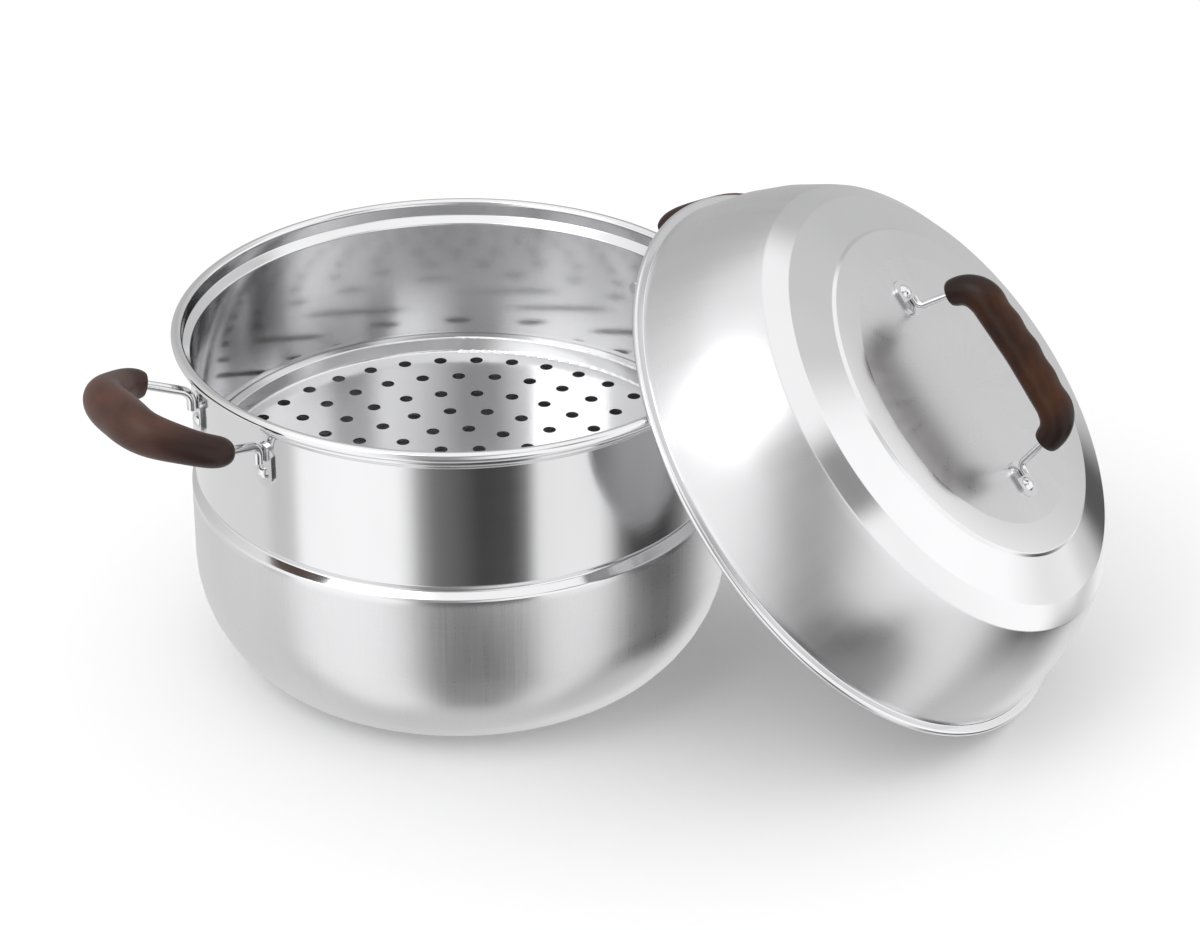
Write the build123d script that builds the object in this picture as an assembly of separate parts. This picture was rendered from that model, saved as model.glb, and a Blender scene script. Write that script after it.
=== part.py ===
from build123d import *
import math
import os

os.makedirs("parts", exist_ok=True)

# Steamer pot with a lift-out steaming tray and a high domed lid that is taken off
# and leans on the pot. The origin is the centre of the pot's base, +Z is up,
# the two side handles lie along HANDLE_BEARING and lengths are in millimetres.

# Sheet steel, gaps and general values
SHEET = 0.8
SEAT_GAP = 0.35
WELD_GAP = 0.05
BORE_GAP = 0.1
OVERRUN = 3.0
JOIN_LIMIT = 0.001
FULL_TURN = 360.0

# Pot, outer sizes
WALL_RADIUS = 139.0
RIM_OVERHANG = 9.0
RIM_RADIUS = WALL_RADIUS + RIM_OVERHANG
RIM_HEIGHT = 185.8
ROLL_RADIUS = 2.85
NECK_DEPTH = 5.8
SHELF_DROP = 3.5
SHELF_BEND = 1.2
BELLY_STEP = 2.0
BELLY_RADIUS = WALL_RADIUS + BELLY_STEP
BELLY_HEIGHT = 60.0
BASE_RADIUS = 95.0
BASE_TURN = 45.0

# Inward bead round the pot, which carries the tray
BEAD_HEIGHT = 105.5
BEAD_WIDTH = 7.4
BEAD_DEPTH = 2.6
BEAD_BEND = 1.5

# Steaming tray
TRAY_PLAY = 0.8
TRAY_FLANGE_WIDTH = 4.4
TRAY_DISH_DEPTH = 8.0
TRAY_FLARE = 2.0
TRAY_BEND = 2.5
HOLE_RADIUS = 3.5
HOLE_PITCH = 20.0
HOLE_RING_SHARES = (0.155, 0.31, 0.465, 0.62, 0.775, 0.92)

# Lid, sizes in its own frame, heights above the plane of its rolled edge
LID_OVERHANG = 10.0
LID_RADIUS = RIM_RADIUS + LID_OVERHANG
LID_ROLL_RADIUS = 1.8
LID_FLANGE_WIDTH = 5.2
LID_FLANGE_BEND = 1.0
LID_WALL_RUN = 23.8
LID_WALL_HEIGHT = 61.6
LID_BAND_WIDTH = 10.9
LID_BAND_RISE = 7.7
LID_RING_WIDTH = 23.5
LID_RING_RISE = 7.3
LID_STEP_WIDTH = 1.5
LID_STEP_RISE = 1.5
LID_SLOPE_WIDTH = 16.3
LID_SLOPE_RISE = 0.5
LID_SWELL = 6.3
LID_WALL_BEND = 140.0
LID_CREASE_BEND = 3.0
LID_SMALL_BEND = 1.3

# How the lid leans on the pot, angles in degrees
LEAN_TILT = 47.67
LEAN_TURN = -24.09
LEAN_BEARING = -8.54
LEAN_GAP = 0.4
LEAN_STEPS = 240
LEAN_HALVINGS = 40
LEAN_BEND_STEPS = 8

# Side handles, angles in degrees
HANDLE_BEARING = 31.7
HANDLE_TILT = 17.8
HANDLE_FOOT_ANGLE = 13.8
GRIP_REACH = 17.7
GRIP_DROP = 6.0
GRIP_HALF_SPAN = 43.4
GRIP_DEPTH = 31.0
GRIP_FROM_ROD_END = 33.0
GRIP_HALF_THICKNESS = 12.0
ROD_RADIUS = 2.5
ROD_FOOT_BEND = 7.0
ROD_END_GAP = 2.5
GRIP_OUTER_BEND = 28.0
GRIP_END_BEND = 20.0
GRIP_OUTER_SHARES = (1.02, 0.55)
GRIP_ELBOW_SHARES = (0.10, 1.05)
GRIP_STATION_SHARES = (0.0, 0.02, 0.06, 0.16, 0.28, 0.40, 0.50)
GRIP_GIRTH_SHARES = (0.52, 0.62, 0.69, 0.76, 0.88, 0.97, 1.0)

# Lugs that carry the side handles
LUG_THICKNESS = 1.5
LUG_WIDTH = 12.5
LUG_ABOVE_RIVET = 16.0
LUG_BELOW_RIVET = 7.5

# Rivets
RIVET_DROP = 30.8
RIVET_HEAD_RADIUS = 4.0
RIVET_HEAD_HEIGHT = 2.4
RIVET_SHANK_RADIUS = 2.0
RIVET_TAIL_RADIUS = 3.5
RIVET_TAIL_HEIGHT = 1.0

# Lid handle, sizes along the handle and above the plane of the lid's rolled edge
LID_HANDLE_TURN = -12.0
LID_RIVET_REACH = 58.0
LID_LUG_WIDTH = 14.0
LID_LUG_INWARD = 13.5
LID_LUG_OUTWARD = 7.0
LID_ROD_RADIUS = 2.0
LID_ROD_END_GAP = 0.7
LID_ROD_FOOT_LENGTH = 5.7
LID_ROD_FOOT_BEND = 4.0
LID_GRIP_RISE = 38.0
LID_GRIP_SHOULDER = 16.5
LID_GRIP_FROM_ROD_END = 24.0
LID_GRIP_BEND = 15.0
LID_GRIP_CROWN = 1.6
LID_GRIP_CROWN_BEND = 200.0
LID_GRIP_HALF_THICKNESS = 9.4
LID_GRIP_HALF_WIDTH = 8.6
LID_GRIP_WAVE = 0.8
LID_GRIP_WAVES = 4
LID_GRIP_STATIONS = 29
LID_GRIP_END_SHARE = 0.20
LID_GRIP_TIP_SHARES = (0.66, 0.78)


# Flat outlines of bent sheet

def heading(start, end):
    return math.atan2(end[1] - start[1], end[0] - start[0])


def turn_between(first, second):
    return (second - first + math.pi) % (2 * math.pi) - math.pi


def shifted(points, bends, shift):
    """The same bent line, shifted to its left, with its corners and bend radii."""
    heads = [heading(a, b) for a, b in zip(points, points[1:])]
    corners = []
    radii = []
    for i, (x, y) in enumerate(points):
        before = heads[max(i - 1, 0)]
        after = heads[min(i, len(heads) - 1)]
        turn = turn_between(before, after)
        middle = before + turn / 2
        reach = shift / math.cos(turn / 2)
        corners.append((x - reach * math.sin(middle), y + reach * math.cos(middle)))
        radii.append(bends[i] - shift * math.copysign(1, turn) if bends[i] else 0)
    return corners, radii


def upright(point):
    return (point[0], 0, point[1])


def bent_line(corners, radii):
    """Edges in the XZ plane: straight runs with a tangent arc at each corner."""
    edges = []
    arcs = []
    last = corners[0]
    for i in range(1, len(corners) - 1):
        before = heading(corners[i - 1], corners[i])
        after = heading(corners[i], corners[i + 1])
        turn = turn_between(before, after)
        radius = radii[i]
        reach = radius * math.tan(abs(turn) / 2)
        x, y = corners[i]
        start = (x - reach * math.cos(before), y - reach * math.sin(before))
        end = (x + reach * math.cos(after), y + reach * math.sin(after))
        inward = before + turn / 2 + math.copysign(math.pi / 2, turn)
        rise = radius / math.cos(turn / 2) - radius
        middle = (x + rise * math.cos(inward), y + rise * math.sin(inward))
        if arcs and math.dist(last, start) < JOIN_LIMIT and abs(radius - arcs[-1][3]) < JOIN_LIMIT:
            arcs[-1] = (arcs[-1][0], last, end, radius)
        else:
            arcs.append((start, middle, end, radius))
        last = end
    last = corners[0]
    for start, middle, end, radius in arcs:
        if math.dist(last, start) > JOIN_LIMIT:
            edges.append(Line(upright(last), upright(start)))
        edges.append(ThreePointArc(upright(start), upright(middle), upright(end)))
        last = end
    if math.dist(last, corners[-1]) > JOIN_LIMIT:
        edges.append(Line(upright(last), upright(corners[-1])))
    return edges


def spun_sheet(points, bends):
    """A sheet of even thickness along a bent line, spun round the Z axis."""
    left, left_radii = shifted(points, bends, SHEET / 2)
    right, right_radii = shifted(points, bends, -SHEET / 2)
    edges = bent_line(right, right_radii)
    edges.append(Line(upright(right[-1]), upright(left[-1])))
    edges += bent_line(left[::-1], left_radii[::-1])
    edges.append(Line(upright(left[0]), upright(right[0])))
    return revolve(Face(Wire(edges, sequenced=True)), axis=Axis.Z, revolution_arc=FULL_TURN)


def two_arc_bend(start, end, first_turn):
    """Corners and radii of two tangent arcs from a level run to an upright one."""
    run = end[0] - start[0]
    rise = end[1] - start[1]
    sine = math.sin(first_turn)
    cosine = math.cos(first_turn)
    first = (run * cosine - rise * (1 - sine)) / (sine * cosine - (1 - cosine) * (1 - sine))
    second = (run - first * sine) / (1 - sine)
    low = (start[0] + first * math.tan(first_turn / 2), start[1])
    high = (end[0], end[1] - second * math.tan((math.pi / 2 - first_turn) / 2))
    return [low, high], [first, second]


# Pot

def pot_line():
    """Middle line of the pot's sheet, from the centre of the base to the rolled rim."""
    half = SHEET / 2
    belly = BELLY_RADIUS - half
    wall = WALL_RADIUS - half
    roll = ROLL_RADIUS - half
    neck = RIM_RADIUS - 2 * ROLL_RADIUS + half
    shelf = RIM_HEIGHT - NECK_DEPTH
    corners, radii = two_arc_bend((BASE_RADIUS, half), (belly, BELLY_HEIGHT), math.radians(BASE_TURN))
    points = [(0, half)] + corners
    bends = [0] + radii
    points += [
        (belly, BEAD_HEIGHT - BEAD_WIDTH / 2),
        (wall - BEAD_DEPTH, BEAD_HEIGHT),
        (wall, BEAD_HEIGHT + BEAD_WIDTH / 2),
    ]
    bends += [BEAD_BEND] * 3
    points += [(wall, shelf - SHELF_DROP), (neck, shelf)]
    bends += [SHELF_BEND] * 2
    points += [
        (neck, RIM_HEIGHT + roll),
        (neck + 2 * roll, RIM_HEIGHT + roll),
        (neck + 2 * roll, RIM_HEIGHT - roll),
        (neck + roll, RIM_HEIGHT - roll),
    ]
    bends += [roll, roll, roll, 0]
    return points, bends


def pot_shell():
    shell = spun_sheet(*pot_line())
    for bearing in foot_bearings():
        shell -= Rot(0, 0, bearing) * rivet_hole(RIVET_SHANK_RADIUS + BORE_GAP)
    return shell


def rivet_height():
    return RIM_HEIGHT - RIVET_DROP


def rivet_hole(radius):
    """A radial cutter through the wall and the lug at the rivets' height."""
    depth = SHEET + LUG_THICKNESS + 2 * OVERRUN
    start = WALL_RADIUS - SHEET - OVERRUN
    return Pos(start, 0, rivet_height()) * Rot(0, 90, 0) * extrude(Circle(radius), depth)


# Steaming tray

def tray_flange_height():
    """Height of the middle of the flange, whose edge rests on the bead's upper flank."""
    points, bends = pot_line()
    inner, radii = shifted(points, bends, SHEET / 2)
    low, high = inner[4], inner[5]
    slope = (high[1] - low[1]) / (high[0] - low[0])
    flank = low[1] + slope * (tray_radius() - low[0])
    return flank + SEAT_GAP * math.hypot(1, slope) + SHEET / 2


def tray_radius():
    return WALL_RADIUS - SHEET - TRAY_PLAY


def tray_dish_radius():
    return tray_radius() - TRAY_FLANGE_WIDTH - TRAY_FLARE


def tray():
    flange = tray_flange_height()
    floor = flange - TRAY_DISH_DEPTH
    points = [
        (0, floor),
        (tray_dish_radius(), floor),
        (tray_dish_radius() + TRAY_FLARE, flange),
        (tray_radius(), flange),
    ]
    plate = spun_sheet(points, [0, TRAY_BEND, SHEET, 0])
    holes = [Pos(0, 0, 0) * Circle(HOLE_RADIUS)]
    for share in HOLE_RING_SHARES:
        ring = share * tray_dish_radius()
        count = round(2 * math.pi * ring / HOLE_PITCH)
        holes += [loc * Circle(HOLE_RADIUS) for loc in PolarLocations(ring, count)]
    cutters = [extrude(Pos(0, 0, floor - OVERRUN) * hole, 2 * OVERRUN) for hole in holes]
    return plate - cutters


# Side handles, drawn on the +X side with the radial direction along X

def foot_bearings():
    sides = (HANDLE_BEARING, HANDLE_BEARING + FULL_TURN / 2)
    return [side + sign * HANDLE_FOOT_ANGLE for side in sides for sign in (-1, 1)]


def handle_point(out, across):
    """A point of the tilted handle plane: how far out from the grip's ends, and across."""
    tilt = math.radians(HANDLE_TILT)
    start = RIM_RADIUS + GRIP_REACH
    height = RIM_HEIGHT - GRIP_DROP
    return Vector(start + out * math.cos(tilt), across, height + out * math.sin(tilt))


def grip_corners():
    """Corners of the grip's middle line with their bend radii, on the +Y half."""
    elbow = handle_point(GRIP_ELBOW_SHARES[0] * GRIP_DEPTH, GRIP_ELBOW_SHARES[1] * GRIP_HALF_SPAN)
    outer = handle_point(GRIP_OUTER_SHARES[0] * GRIP_DEPTH, GRIP_OUTER_SHARES[1] * GRIP_HALF_SPAN)
    return [elbow, outer], [GRIP_END_BEND, GRIP_OUTER_BEND]


def mirrored(points):
    return [Vector(p.X, -p.Y, p.Z) for p in reversed(points)]


def rod_foot(height):
    reach = WALL_RADIUS + WELD_GAP + LUG_THICKNESS + WELD_GAP + ROD_RADIUS
    angle = math.radians(HANDLE_FOOT_ANGLE)
    return Vector(reach * math.cos(angle), reach * math.sin(angle), height)


def rod_line():
    """Middle line of the rod, foot to foot, through the grip."""
    points, bends = grip_corners()
    foot = rod_foot(rivet_height() + RIVET_HEAD_RADIUS + ROD_END_GAP)
    inward = foot.X - RIM_RADIUS - GRIP_REACH
    fall = inward * math.tan(math.radians(HANDLE_TILT))
    top = rod_foot(RIM_HEIGHT - GRIP_DROP + fall)
    half = [foot, top] + points
    radii = [ROD_FOOT_BEND] + bends
    return FilletPolyline(*half, *mirrored(half), radius=radii + radii[::-1])


def swept_round(line, radius):
    return sweep(Plane(origin=line @ 0, z_dir=line % 0) * Circle(radius), path=line)


def side_rod():
    return swept_round(rod_line(), ROD_RADIUS)


def grip_stations():
    """Places along the grip with the girth there, both as shares, end to end."""
    half = list(zip(GRIP_STATION_SHARES, GRIP_GIRTH_SHARES))
    return half + [(1 - place, girth) for place, girth in half[-2::-1]]


def along_grip(line, place, bare):
    """Share of the rod's line that a share of the grip's length stands for."""
    start = bare / line.length
    return start + place * (1 - 2 * start)


def side_grip():
    line = rod_line()
    tilt = math.radians(HANDLE_TILT)
    normal = Vector(-math.sin(tilt), 0, math.cos(tilt))
    sections = []
    for place, girth in grip_stations():
        spot = along_grip(line, place, GRIP_FROM_ROD_END)
        plane = Plane(origin=line @ spot, x_dir=normal, z_dir=line % spot)
        sections.append(plane * Circle(girth * GRIP_HALF_THICKNESS))
    return loft(sections) - swept_round(line, ROD_RADIUS + BORE_GAP)


def side_lug():
    """A lug bent to the wall, drawn on the +X side."""
    inner = WALL_RADIUS + WELD_GAP
    height = LUG_ABOVE_RIVET + LUG_BELOW_RIVET
    middle = rivet_height() + (LUG_ABOVE_RIVET - LUG_BELOW_RIVET) / 2
    ring = Cylinder(inner + LUG_THICKNESS, height) - Cylinder(inner, height)
    outline = SlotOverall(height, LUG_WIDTH, rotation=90)
    block = Plane.YZ * Pos(0, 0, WALL_RADIUS - OVERRUN) * outline
    lug = Pos(0, 0, middle) * (ring & extrude(block, 2 * OVERRUN + LUG_THICKNESS))
    return lug - rivet_hole(RIVET_SHANK_RADIUS + BORE_GAP)


def rivet(grip):
    """A domed rivet along +Z with its head's seat at zero and its tail below."""
    tail = -grip - WELD_GAP
    low = tail - RIVET_TAIL_HEIGHT
    edges = [
        Line((0, 0, low), (RIVET_TAIL_RADIUS, 0, low)),
        Line((RIVET_TAIL_RADIUS, 0, low), (RIVET_TAIL_RADIUS, 0, tail)),
        Line((RIVET_TAIL_RADIUS, 0, tail), (RIVET_SHANK_RADIUS, 0, tail)),
        Line((RIVET_SHANK_RADIUS, 0, tail), (RIVET_SHANK_RADIUS, 0, WELD_GAP)),
        Line((RIVET_SHANK_RADIUS, 0, WELD_GAP), (RIVET_HEAD_RADIUS, 0, WELD_GAP)),
        rivet_dome(),
        Line((0, 0, RIVET_HEAD_HEIGHT), (0, 0, low)),
    ]
    return revolve(Face(Wire(edges, sequenced=True)), axis=Axis.Z, revolution_arc=FULL_TURN)


def rivet_dome():
    """The head's arc, with its centre on the axis."""
    rise = RIVET_HEAD_HEIGHT - WELD_GAP
    radius = (RIVET_HEAD_RADIUS ** 2 + rise ** 2) / (2 * rise)
    centre = RIVET_HEAD_HEIGHT - radius
    angle = math.asin(RIVET_HEAD_RADIUS / radius) / 2
    middle = (radius * math.sin(angle), 0, centre + radius * math.cos(angle))
    return ThreePointArc((RIVET_HEAD_RADIUS, 0, WELD_GAP), middle, (0, 0, RIVET_HEAD_HEIGHT))


def side_rivet():
    seat = WALL_RADIUS + WELD_GAP + LUG_THICKNESS
    grip = LUG_THICKNESS + SHEET + 2 * WELD_GAP
    return Pos(seat, 0, rivet_height()) * Rot(0, 90, 0) * rivet(grip)


# Lid, drawn upright on its own axis with the plane of its rolled edge at zero

def lid_line():
    """Middle line of the lid's sheet, from the centre of the top to the rolled edge."""
    roll = LID_ROLL_RADIUS - SHEET / 2
    centre = LID_RADIUS - LID_ROLL_RADIUS
    foot = (LID_RADIUS - LID_FLANGE_WIDTH, roll)
    shoulder = (foot[0] - LID_WALL_RUN, LID_WALL_HEIGHT)
    band = (shoulder[0] - LID_BAND_WIDTH, shoulder[1] + LID_BAND_RISE)
    step = (band[0] - LID_RING_WIDTH, band[1] + LID_RING_RISE)
    chord = math.dist(foot, shoulder)
    out = (shoulder[1] - foot[1]) / chord
    up = (foot[0] - shoulder[0]) / chord
    swell = (
        (foot[0] + shoulder[0]) / 2 + LID_SWELL * out,
        (foot[1] + shoulder[1]) / 2 + LID_SWELL * up,
    )
    points = [
        (0, lid_disc_height()),
        (step[0] - LID_STEP_WIDTH - LID_SLOPE_WIDTH, lid_disc_height()),
        (step[0] - LID_STEP_WIDTH, step[1] + LID_STEP_RISE),
        step,
        band,
        shoulder,
        swell,
        foot,
    ]
    bends = [0, LID_SMALL_BEND, SHEET, SHEET, LID_CREASE_BEND, LID_CREASE_BEND]
    bends += [LID_WALL_BEND, LID_FLANGE_BEND]
    points += [
        (centre + roll, roll),
        (centre + roll, -roll),
        (centre - roll, -roll),
        (centre - roll, 0),
    ]
    bends += [roll, roll, roll, 0]
    return points, bends


def lid_disc_height():
    rises = LID_BAND_RISE + LID_RING_RISE + LID_STEP_RISE + LID_SLOPE_RISE
    return LID_WALL_HEIGHT + rises


def lid_top():
    return lid_disc_height() + SHEET / 2


def lid_shell():
    shell = spun_sheet(*lid_line())
    for sign in (-1, 1):
        shell -= lid_rivet_hole(sign)
    return shell


def along_lid_handle(shape):
    return Rot(0, 0, LID_HANDLE_TURN) * shape


def lid_rivet_hole(sign):
    depth = SHEET + LUG_THICKNESS + 2 * OVERRUN
    start = lid_top() - SHEET - OVERRUN
    hole = Pos(sign * LID_RIVET_REACH, 0, start) * extrude(Circle(RIVET_SHANK_RADIUS + BORE_GAP), depth)
    return along_lid_handle(hole)


def lid_lug(sign):
    length = LID_LUG_OUTWARD + LID_LUG_INWARD
    middle = LID_RIVET_REACH + (LID_LUG_OUTWARD - LID_LUG_INWARD) / 2
    outline = Pos(sign * middle, 0, lid_top() + WELD_GAP) * SlotOverall(length, LID_LUG_WIDTH)
    return along_lid_handle(extrude(outline, LUG_THICKNESS)) - lid_rivet_hole(sign)


def lid_rivet(sign):
    seat = lid_top() + WELD_GAP + LUG_THICKNESS
    grip = LUG_THICKNESS + SHEET + 2 * WELD_GAP
    return along_lid_handle(Pos(sign * LID_RIVET_REACH, 0, seat) * rivet(grip))


def lid_rod_height():
    return lid_top() + LUG_THICKNESS + 2 * WELD_GAP + LID_ROD_RADIUS


def lid_grip_corners():
    """Corners of the lid grip's middle line, from the middle of its crown to +X."""
    top = lid_top() + LID_GRIP_RISE
    crown = Vector(0, 0, top + LID_GRIP_CROWN)
    shoulder = Vector(LID_RIVET_REACH - LID_GRIP_SHOULDER, 0, top)
    return crown, shoulder


def opposite(points):
    return [Vector(-p.X, p.Y, p.Z) for p in reversed(points)]


def lid_rod_line():
    crown, shoulder = lid_grip_corners()
    end = Vector(LID_RIVET_REACH - RIVET_HEAD_RADIUS - LID_ROD_END_GAP, 0, lid_rod_height())
    half = [end, end - Vector(LID_ROD_FOOT_LENGTH, 0, 0), shoulder]
    radii = [LID_ROD_FOOT_BEND, LID_GRIP_BEND]
    radii = radii + [LID_GRIP_CROWN_BEND] + radii[::-1]
    return FilletPolyline(*half, crown, *opposite(half), radius=radii)


def lid_rod():
    return along_lid_handle(swept_round(lid_rod_line(), LID_ROD_RADIUS))


def lid_grip_girth(place):
    """Share of the full section: slim at the ends, full along the bar."""
    near = min(place, 1 - place) / LID_GRIP_END_SHARE
    tip, neck = LID_GRIP_TIP_SHARES
    if near >= 1:
        return 1
    rounded = math.sqrt(max(0, 1 - (1 - min(1, near * 4)) ** 2))
    return (tip + (neck - tip) * rounded) + (1 - neck) * math.sin(near * math.pi / 2) ** 2


def lid_grip():
    """The grip, lofted through ellipses, with finger waves on its underside."""
    line = lid_rod_line()
    across = Vector(0, 1, 0)
    sections = []
    for i in range(LID_GRIP_STATIONS):
        place = i / (LID_GRIP_STATIONS - 1)
        girth = lid_grip_girth(place)
        spot = along_grip(line, place, LID_GRIP_FROM_ROD_END)
        along = line % spot
        under = across.cross(along)
        span = (place - LID_GRIP_END_SHARE) / (1 - 2 * LID_GRIP_END_SHARE)
        wave = 0
        if 0 < span < 1:
            wave = LID_GRIP_WAVE * math.sin(LID_GRIP_WAVES * math.pi * span) ** 2
        thickness = LID_GRIP_HALF_THICKNESS * girth - wave / 2
        width = LID_GRIP_HALF_WIDTH * girth
        centre = (line @ spot) - under * (wave / 2)
        plane = Plane(origin=centre, x_dir=across, z_dir=along)
        sections.append(plane * Ellipse(width, thickness))
    bore = swept_round(line, LID_ROD_RADIUS + BORE_GAP)
    return along_lid_handle(loft(sections) - bore)


# Where the lid leans

def lean_axis():
    tilt = math.radians(LEAN_TILT)
    turn = math.radians(LEAN_TURN)
    return Vector(math.sin(tilt) * math.cos(turn), math.sin(tilt) * math.sin(turn), math.cos(tilt))


def lean_centre(reach):
    """Centre of the lid's rolled edge when its lowest point stands on the floor."""
    bearing = math.radians(LEAN_BEARING)
    height = (LID_RADIUS - LID_ROLL_RADIUS) * math.sin(math.radians(LEAN_TILT)) + LID_ROLL_RADIUS
    return Vector(reach * math.cos(bearing), reach * math.sin(bearing), height)


def bend_points(points, bends, i):
    """Points along the bend at one corner of a bent line."""
    if i == 0 or bends[i] == 0:
        return [points[i]]
    before = heading(points[i - 1], points[i])
    after = heading(points[i], points[i + 1])
    turn = turn_between(before, after)
    run = bends[i] * math.tan(abs(turn) / 2)
    side = before + math.copysign(math.pi / 2, turn)
    centre = (
        points[i][0] - run * math.cos(before) + bends[i] * math.cos(side),
        points[i][1] - run * math.sin(before) + bends[i] * math.sin(side),
    )
    angles = [side + turn * k / LEAN_BEND_STEPS for k in range(LEAN_BEND_STEPS + 1)]
    return [
        (centre[0] - bends[i] * math.cos(angle), centre[1] - bends[i] * math.sin(angle))
        for angle in angles
    ]


def lid_outline():
    """Middle line of the lid from its centre to the foot of the wall, bends included."""
    points, bends = lid_line()
    outline = []
    for i in range(len(points) - 4):
        outline += bend_points(points, bends, i)
    return outline


def gap_to_lid(outline, reach, point, radius):
    """Clear distance from a ball to the lid's wall and rolled edge."""
    offset = point - lean_centre(reach)
    height = offset.dot(lean_axis())
    away = math.sqrt(max(0, offset.dot(offset) - height * height))
    centre = LID_RADIUS - LID_ROLL_RADIUS
    least = math.hypot(away - centre, height) - LID_ROLL_RADIUS
    for start, end in zip(outline, outline[1:]):
        length = math.dist(start, end)
        share = ((away - start[0]) * (end[0] - start[0]) + (height - start[1]) * (end[1] - start[1]))
        share = min(1, max(0, share / length ** 2))
        nearest = (start[0] + share * (end[0] - start[0]), start[1] + share * (end[1] - start[1]))
        least = min(least, math.dist(nearest, (away, height)) - SHEET / 2)
    return least - radius


def lean_balls():
    """Balls that fill the pot's rolled rim and the grip that the lid leans on."""
    balls = []
    centre = RIM_RADIUS - ROLL_RADIUS
    for i in range(LEAN_STEPS):
        angle = 2 * math.pi * i / LEAN_STEPS
        point = Vector(centre * math.cos(angle), centre * math.sin(angle), RIM_HEIGHT)
        balls.append((point, ROLL_RADIUS))
    line = rod_line()
    stations = grip_stations()
    for (start, thin), (end, thick) in zip(stations, stations[1:]):
        for i in range(LEAN_STEPS // 20):
            part = i / (LEAN_STEPS // 20)
            spot = along_grip(line, start + part * (end - start), GRIP_FROM_ROD_END)
            point = (line @ spot).rotate(Axis.Z, HANDLE_BEARING)
            balls.append((point, (thin + part * (thick - thin)) * GRIP_HALF_THICKNESS))
    return balls


def lean_reach():
    """How far out the lid stands, so that it just clears the rim and the grip."""
    balls = lean_balls()
    outline = lid_outline()
    near = RIM_RADIUS
    far = RIM_RADIUS + 2 * LID_RADIUS
    for _ in range(LEAN_HALVINGS):
        middle = (near + far) / 2
        if min(gap_to_lid(outline, middle, point, radius) for point, radius in balls) > LEAN_GAP:
            far = middle
        else:
            near = middle
    return far


def lean_place(reach):
    centre = lean_centre(reach)
    return Pos(centre.X, centre.Y, centre.Z) * Rot(0, 0, LEAN_TURN) * Rot(0, LEAN_TILT, 0)


# All the pieces, in place

def group(shapes):
    return Compound(children=list(shapes))


def pieces():
    nodes = {"pot_body": pot_shell(), "steamer_tray": tray()}
    rod = side_rod()
    grip = side_grip()
    lug = side_lug()
    fastener = side_rivet()
    for name, bearing in (("right", HANDLE_BEARING), ("left", HANDLE_BEARING + FULL_TURN / 2)):
        nodes["side_rod_" + name] = Rot(0, 0, bearing) * rod
        nodes["side_grip_" + name] = Rot(0, 0, bearing) * grip
    for name, bearing in zip(("right_front", "right_back", "left_back", "left_front"), foot_bearings()):
        nodes["side_lug_" + name] = Rot(0, 0, bearing) * lug
    nodes["side_rivets"] = group(Rot(0, 0, bearing) * fastener for bearing in foot_bearings())
    reach = lean_reach()
    print("lid stands out", round(reach, 2))
    place = lean_place(reach)
    nodes["lid_shell"] = place * lid_shell()
    nodes["lid_rod"] = place * lid_rod()
    nodes["lid_grip"] = place * lid_grip()
    nodes["lid_lug_upper"] = place * lid_lug(-1)
    nodes["lid_lug_lower"] = place * lid_lug(1)
    nodes["lid_rivets"] = group(place * lid_rivet(sign) for sign in (-1, 1))
    return nodes


def main():
    for name, shape in pieces().items():
        shape.label = name
        export_step(shape, os.path.join("parts", name + ".step"))


if __name__ == "__main__":
    main()
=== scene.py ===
"""Steamer pot with a domed lid that leans against it, and its plain studio."""
import math

import bmesh
import bpy
from bpy.props import FloatProperty, FloatVectorProperty, IntProperty, PointerProperty
from mathutils import Matrix, Vector


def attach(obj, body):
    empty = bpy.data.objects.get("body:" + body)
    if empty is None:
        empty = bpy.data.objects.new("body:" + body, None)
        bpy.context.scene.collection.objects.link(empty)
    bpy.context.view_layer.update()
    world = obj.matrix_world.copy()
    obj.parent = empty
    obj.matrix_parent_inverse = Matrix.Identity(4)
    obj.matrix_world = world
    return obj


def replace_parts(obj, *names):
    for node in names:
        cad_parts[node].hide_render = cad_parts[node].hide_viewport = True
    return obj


bl_info = {
    "name": "Steamer Pot",
    "version": (1, 0, 0),
    "blender": (4, 5, 0),
    "location": "3D View > Sidebar > Steamer Pot",
    "description": "Dresses a steamer pot, its tray and its domed lid in steel and moulded grips",
    "category": "Object",
}

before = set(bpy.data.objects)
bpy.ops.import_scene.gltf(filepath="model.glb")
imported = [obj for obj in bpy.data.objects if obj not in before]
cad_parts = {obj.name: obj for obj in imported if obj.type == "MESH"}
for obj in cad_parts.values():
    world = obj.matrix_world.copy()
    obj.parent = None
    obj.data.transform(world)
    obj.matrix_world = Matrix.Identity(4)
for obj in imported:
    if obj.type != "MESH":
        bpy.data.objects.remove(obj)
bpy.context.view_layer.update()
MM = 0.001


def length(name, description, size):
    """A size in metres, written in millimetres."""
    return FloatProperty(
        name=name, description=description, default=size * MM, unit="LENGTH", precision=4)


def angle(name, description, degrees):
    """An angle in radians, written in degrees."""
    return FloatProperty(
        name=name, description=description, default=math.radians(degrees), subtype="ANGLE")


def colour(name, description, value):
    return FloatVectorProperty(
        name=name, description=description, default=value, subtype="COLOR", size=3, min=0, max=1)


def share(name, description, value):
    return FloatProperty(
        name=name, description=description, default=value, subtype="FACTOR", min=0, max=1)


# Sizes and colours that a user would change

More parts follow.
